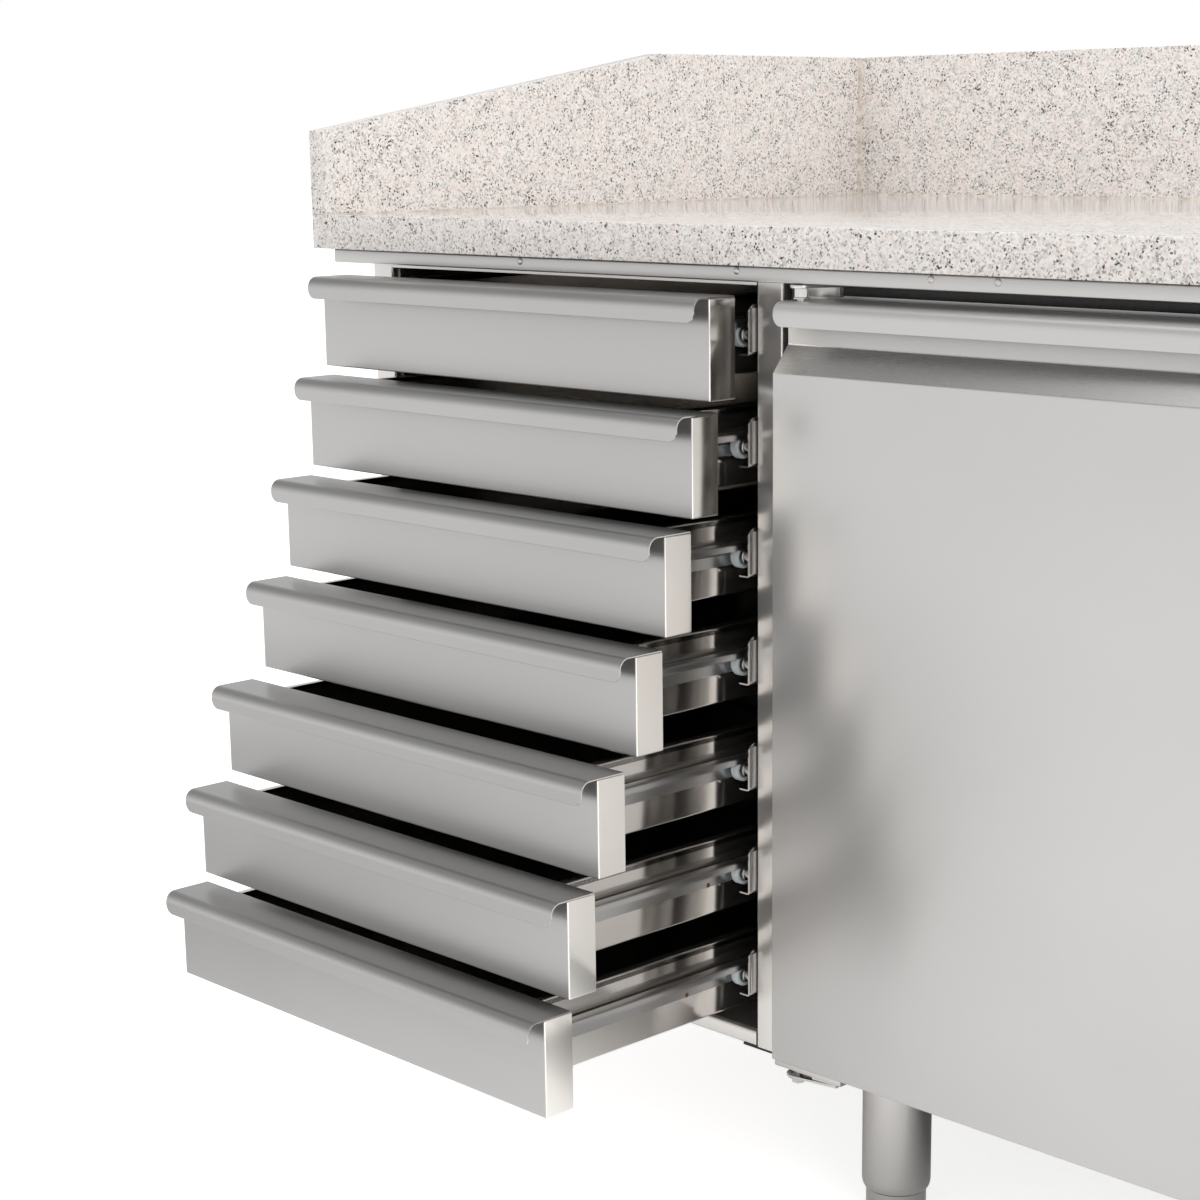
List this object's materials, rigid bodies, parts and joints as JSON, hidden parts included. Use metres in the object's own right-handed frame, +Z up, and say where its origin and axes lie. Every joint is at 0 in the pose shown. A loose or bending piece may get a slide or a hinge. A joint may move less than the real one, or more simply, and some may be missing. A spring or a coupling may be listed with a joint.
{
  "type": "pizza prep table",
  "caption": "Stainless steel refrigerated pizza prep table with a granite worktop and upstands, an insulated door and a stack of dough drawers on rollers.",
  "frame": {"origin": "on the floor, under the middle of the whole table's bounding box with its drawers open as at rest", "axes": "+X along the table to the right as seen from the front, +Y from the front to the back, +Z up"},
  "size_m": [1.42, 1.0348, 1.005],
  "materials": {
    "granite": "polished",
    "brushed_steel": "brushed",
    "polished_steel": "bright",
    "nylon": "moulded",
    "gasket_rubber": "matt",
    "black_plastic": "moulded",
    "white_liner": "smooth",
    "painted_iron": "satin black",
    "coated_wire": "coated"
  },
  "bodies": {
    "table": {"worktop_slab": "granite", "back_upstand": "granite", "left_upstand": "granite", "right_upstand": "granite", "worktop_support": "brushed_steel", "drawer_cabinet": "brushed_steel", "runner_panel_left": "brushed_steel", "runner_panel_right": "brushed_steel", "cold_cabinet": "brushed_steel", "shelf": "coated_wire", "evaporator_cover": "white_liner", "hinge_top": "polished_steel", "hinge_bottom": "polished_steel", "louvre_panel": "brushed_steel", "condensing_unit": "painted_iron", "leg_1": "brushed_steel", "leg_2": "brushed_steel", "leg_3": "brushed_steel", "leg_4": "brushed_steel", "leg_5": "brushed_steel", "leg_6": "brushed_steel"},
    "drawer_1": {"drawer_front_1": "brushed_steel", "drawer_box_1": "brushed_steel"},
    "drawer_2": {"drawer_front_2": "brushed_steel", "drawer_box_2": "brushed_steel"},
    "drawer_3": {"drawer_front_3": "brushed_steel", "drawer_box_3": "brushed_steel"},
    "drawer_4": {"drawer_front_4": "brushed_steel", "drawer_box_4": "brushed_steel"},
    "drawer_5": {"drawer_front_5": "brushed_steel", "drawer_box_5": "brushed_steel"},
    "drawer_6": {"drawer_front_6": "brushed_steel", "drawer_box_6": "brushed_steel"},
    "drawer_7": {"drawer_front_7": "brushed_steel", "drawer_box_7": "brushed_steel"},
    "door": {"door_skin": "brushed_steel", "door_inner_panel": "white_liner", "door_gasket": "gasket_rubber"},
    "roller_right_1": {"roller_right_1": "nylon"},
    "roller_right_2": {"roller_right_2": "nylon"},
    "roller_right_3": {"roller_right_3": "nylon"},
    "roller_right_4": {"roller_right_4": "nylon"},
    "roller_right_5": {"roller_right_5": "nylon"},
    "roller_right_6": {"roller_right_6": "nylon"},
    "roller_right_7": {"roller_right_7": "nylon"},
    "roller_left_1": {"roller_left_1": "nylon"},
    "roller_left_2": {"roller_left_2": "nylon"},
    "roller_left_3": {"roller_left_3": "nylon"},
    "roller_left_4": {"roller_left_4": "nylon"},
    "roller_left_5": {"roller_left_5": "nylon"},
    "roller_left_6": {"roller_left_6": "nylon"},
    "roller_left_7": {"roller_left_7": "nylon"},
    "condenser_fan": {"condenser_fan": "black_plastic"},
    "power_switch": {"power_switch": "black_plastic"},
    "foot_1": {"foot_1": "polished_steel"},
    "foot_2": {"foot_2": "polished_steel"},
    "foot_3": {"foot_3": "polished_steel"},
    "foot_4": {"foot_4": "polished_steel"},
    "foot_5": {"foot_5": "polished_steel"},
    "foot_6": {"foot_6": "polished_steel"}
  },
  "joints": [
    {"name": "drawer_1_slide", "type": "slide", "parent": "table", "child": "drawer_1", "axis": [0, -1, 0], "range_m": [-0.0405, 0.4095]},
    {"name": "drawer_2_slide", "type": "slide", "parent": "table", "child": "drawer_2", "axis": [0, -1, 0], "range_m": [-0.061, 0.389]},
    {"name": "drawer_3_slide", "type": "slide", "parent": "table", "child": "drawer_3", "axis": [0, -1, 0], "range_m": [-0.0929, 0.3571]},
    {"name": "drawer_4_slide", "type": "slide", "parent": "table", "child": "drawer_4", "axis": [0, -1, 0], "range_m": [-0.1268, 0.3232]},
    {"name": "drawer_5_slide", "type": "slide", "parent": "table", "child": "drawer_5", "axis": [0, -1, 0], "range_m": [-0.171, 0.279]},
    {"name": "drawer_6_slide", "type": "slide", "parent": "table", "child": "drawer_6", "axis": [0, -1, 0], "range_m": [-0.2057, 0.2443]},
    {"name": "drawer_7_slide", "type": "slide", "parent": "table", "child": "drawer_7", "axis": [0, -1, 0], "range_m": [-0.233, 0.217]},
    {"name": "door_hinge", "type": "hinge", "parent": "table", "child": "door", "pos_m": [-0.1, -0.26235, 0.4722], "axis": [0, 0, -1], "range_deg": [0, 90]},
    {"name": "roller_right_1_spin", "type": "hinge", "parent": "table", "child": "roller_right_1", "pos_m": [-0.1903, -0.23565, 0.7587], "axis": [1, 0, 0], "continuous": true},
    {"name": "roller_right_2_spin", "type": "hinge", "parent": "table", "child": "roller_right_2", "pos_m": [-0.1903, -0.23565, 0.6655], "axis": [1, 0, 0], "continuous": true},
    {"name": "roller_right_3_spin", "type": "hinge", "parent": "table", "child": "roller_right_3", "pos_m": [-0.1903, -0.23565, 0.5723], "axis": [1, 0, 0], "continuous": true},
    {"name": "roller_right_4_spin", "type": "hinge", "parent": "table", "child": "roller_right_4", "pos_m": [-0.1903, -0.23565, 0.4791], "axis": [1, 0, 0], "continuous": true},
    {"name": "roller_right_5_spin", "type": "hinge", "parent": "table", "child": "roller_right_5", "pos_m": [-0.1903, -0.23565, 0.3859], "axis": [1, 0, 0], "continuous": true},
    {"name": "roller_right_6_spin", "type": "hinge", "parent": "table", "child": "roller_right_6", "pos_m": [-0.1903, -0.23565, 0.2927], "axis": [1, 0, 0], "continuous": true},
    {"name": "roller_right_7_spin", "type": "hinge", "parent": "table", "child": "roller_right_7", "pos_m": [-0.1903, -0.23565, 0.1995], "axis": [1, 0, 0], "continuous": true},
    {"name": "roller_left_1_spin", "type": "hinge", "parent": "table", "child": "roller_left_1", "pos_m": [-0.6337, -0.23565, 0.7587], "axis": [1, 0, 0], "continuous": true},
    {"name": "roller_left_2_spin", "type": "hinge", "parent": "table", "child": "roller_left_2", "pos_m": [-0.6337, -0.23565, 0.6655], "axis": [1, 0, 0], "continuous": true},
    {"name": "roller_left_3_spin", "type": "hinge", "parent": "table", "child": "roller_left_3", "pos_m": [-0.6337, -0.23565, 0.5723], "axis": [1, 0, 0], "continuous": true},
    {"name": "roller_left_4_spin", "type": "hinge", "parent": "table", "child": "roller_left_4", "pos_m": [-0.6337, -0.23565, 0.4791], "axis": [1, 0, 0], "continuous": true},
    {"name": "roller_left_5_spin", "type": "hinge", "parent": "table", "child": "roller_left_5", "pos_m": [-0.6337, -0.23565, 0.3859], "axis": [1, 0, 0], "continuous": true},
    {"name": "roller_left_6_spin", "type": "hinge", "parent": "table", "child": "roller_left_6", "pos_m": [-0.6337, -0.23565, 0.2927], "axis": [1, 0, 0], "continuous": true},
    {"name": "roller_left_7_spin", "type": "hinge", "parent": "table", "child": "roller_left_7", "pos_m": [-0.6337, -0.23565, 0.1995], "axis": [1, 0, 0], "continuous": true},
    {"name": "condenser_fan_spin", "type": "hinge", "parent": "table", "child": "condenser_fan", "pos_m": [0.52125, -0.01965, 0.2578], "axis": [0, 1, 0], "continuous": true},
    {"name": "power_switch_rock", "type": "hinge", "parent": "table", "child": "power_switch", "pos_m": [0.609, -0.28105, 0.7064], "axis": [1, 0, 0], "range_deg": [0, 16]},
    {"name": "foot_1_turn", "type": "hinge", "parent": "table", "child": "foot_1", "pos_m": [-0.5965, -0.17765, 0.022], "axis": [0, 0, 1], "continuous": true},
    {"name": "foot_2_turn", "type": "hinge", "parent": "table", "child": "foot_2", "pos_m": [-0.0605, -0.17765, 0.022], "axis": [0, 0, 1], "continuous": true},
    {"name": "foot_3_turn", "type": "hinge", "parent": "table", "child": "foot_3", "pos_m": [0.5965, -0.17765, 0.022], "axis": [0, 0, 1], "continuous": true},
    {"name": "foot_4_turn", "type": "hinge", "parent": "table", "child": "foot_4", "pos_m": [-0.5965, 0.43635, 0.022], "axis": [0, 0, 1], "continuous": true},
    {"name": "foot_5_turn", "type": "hinge", "parent": "table", "child": "foot_5", "pos_m": [-0.0605, 0.43635, 0.022], "axis": [0, 0, 1], "continuous": true},
    {"name": "foot_6_turn", "type": "hinge", "parent": "table", "child": "foot_6", "pos_m": [0.5965, 0.43635, 0.022], "axis": [0, 0, 1], "continuous": true}
  ],
  "couplings": [
    {"joint": "roller_right_1_spin", "follows": "drawer_1_slide", "rad_per_m": 95.238},
    {"joint": "roller_right_2_spin", "follows": "drawer_2_slide", "rad_per_m": 95.238},
    {"joint": "roller_right_3_spin", "follows": "drawer_3_slide", "rad_per_m": 95.238},
    {"joint": "roller_right_4_spin", "follows": "drawer_4_slide", "rad_per_m": 95.238},
    {"joint": "roller_right_5_spin", "follows": "drawer_5_slide", "rad_per_m": 95.238},
    {"joint": "roller_right_6_spin", "follows": "drawer_6_slide", "rad_per_m": 95.238},
    {"joint": "roller_right_7_spin", "follows": "drawer_7_slide", "rad_per_m": 95.238},
    {"joint": "roller_left_1_spin", "follows": "drawer_1_slide", "rad_per_m": 95.238},
    {"joint": "roller_left_2_spin", "follows": "drawer_2_slide", "rad_per_m": 95.238},
    {"joint": "roller_left_3_spin", "follows": "drawer_3_slide", "rad_per_m": 95.238},
    {"joint": "roller_left_4_spin", "follows": "drawer_4_slide", "rad_per_m": 95.238},
    {"joint": "roller_left_5_spin", "follows": "drawer_5_slide", "rad_per_m": 95.238},
    {"joint": "roller_left_6_spin", "follows": "drawer_6_slide", "rad_per_m": 95.238},
    {"joint": "roller_left_7_spin", "follows": "drawer_7_slide", "rad_per_m": 95.238}
  ]
}
